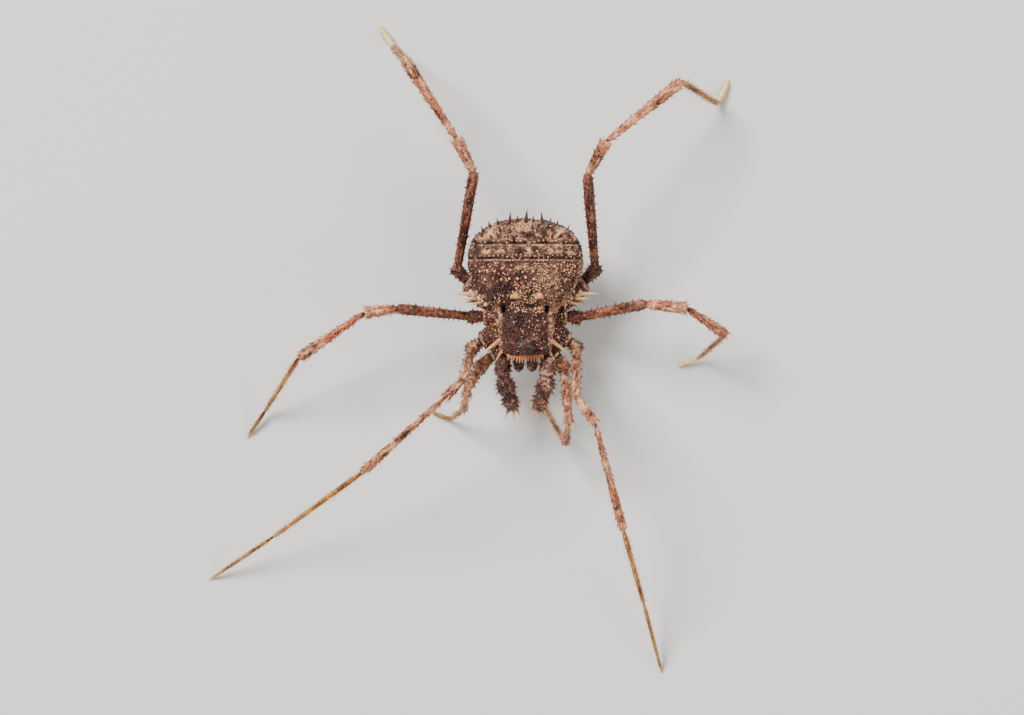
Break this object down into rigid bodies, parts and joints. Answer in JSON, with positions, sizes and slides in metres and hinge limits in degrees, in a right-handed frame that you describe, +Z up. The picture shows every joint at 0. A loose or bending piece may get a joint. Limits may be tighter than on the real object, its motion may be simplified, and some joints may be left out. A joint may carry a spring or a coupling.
{
  "type": "harvestman figure",
  "caption": "Life-size still model of a short-legged, spiny harvestman standing with its legs spread, second legs reaching forward.",
  "frame": {"origin": "on the floor, under the middle of the box round the whole animal", "axes": "+Z up from the floor, -Y the way the head points, +X the animal's own left side"},
  "size_m": [0.02, 0.0248, 0.0062],
  "materials": {
    "back": "dark purple-brown armour, covered in tan grains",
    "head": "dark purple-brown armour with paler, granular edges",
    "palp": "blackish brown, slightly glossy",
    "eye": "black and glossy",
    "thigh": "dark reddish brown, satin",
    "shin": "reddish brown, satin",
    "ankle": "orange-brown, satin",
    "foot": "pale cream-brown, satin"
  },
  "bodies": {
    "root": {"head_shield": "head", "eye_mound": "head", "back_shield": "back", "back_plate_1": "back", "back_plate_2": "back", "eye_left": "eye", "hip4_left": "back", "pincer_left": "palp", "palp_left_femur": "palp", "palp_left_tibia": "palp", "palp_left_foot": "palp", "eye_right": "eye", "hip4_right": "back", "pincer_right": "palp", "palp_right_femur": "palp", "palp_right_tibia": "palp", "palp_right_foot": "palp", "leg1_left_femur": "thigh", "leg1_left_patella": "shin", "leg1_left_tibia": "shin", "leg1_left_metatarsus": "ankle", "leg1_left_tarsus": "foot", "leg1_right_femur": "thigh", "leg1_right_patella": "shin", "leg1_right_tibia": "shin", "leg1_right_metatarsus": "ankle", "leg1_right_tarsus": "foot", "leg2_left_femur": "thigh", "leg2_left_patella": "shin", "leg2_left_tibia": "shin", "leg2_left_metatarsus": "ankle", "leg2_left_tarsus": "foot", "leg2_right_femur": "thigh", "leg2_right_patella": "shin", "leg2_right_tibia": "shin", "leg2_right_metatarsus": "ankle", "leg2_right_tarsus": "foot", "leg3_left_femur": "thigh", "leg3_left_patella": "shin", "leg3_left_tibia": "shin", "leg3_left_metatarsus": "ankle", "leg3_left_tarsus": "foot", "leg3_right_femur": "thigh", "leg3_right_patella": "shin", "leg3_right_tibia": "shin", "leg3_right_metatarsus": "ankle", "leg3_right_tarsus": "foot", "leg4_left_femur": "thigh", "leg4_left_patella": "shin", "leg4_left_tibia": "shin", "leg4_left_metatarsus": "ankle", "leg4_left_tarsus": "foot", "leg4_right_femur": "thigh", "leg4_right_patella": "shin", "leg4_right_tibia": "shin", "leg4_right_metatarsus": "ankle", "leg4_right_tarsus": "foot"}
  },
  "joints": []
}
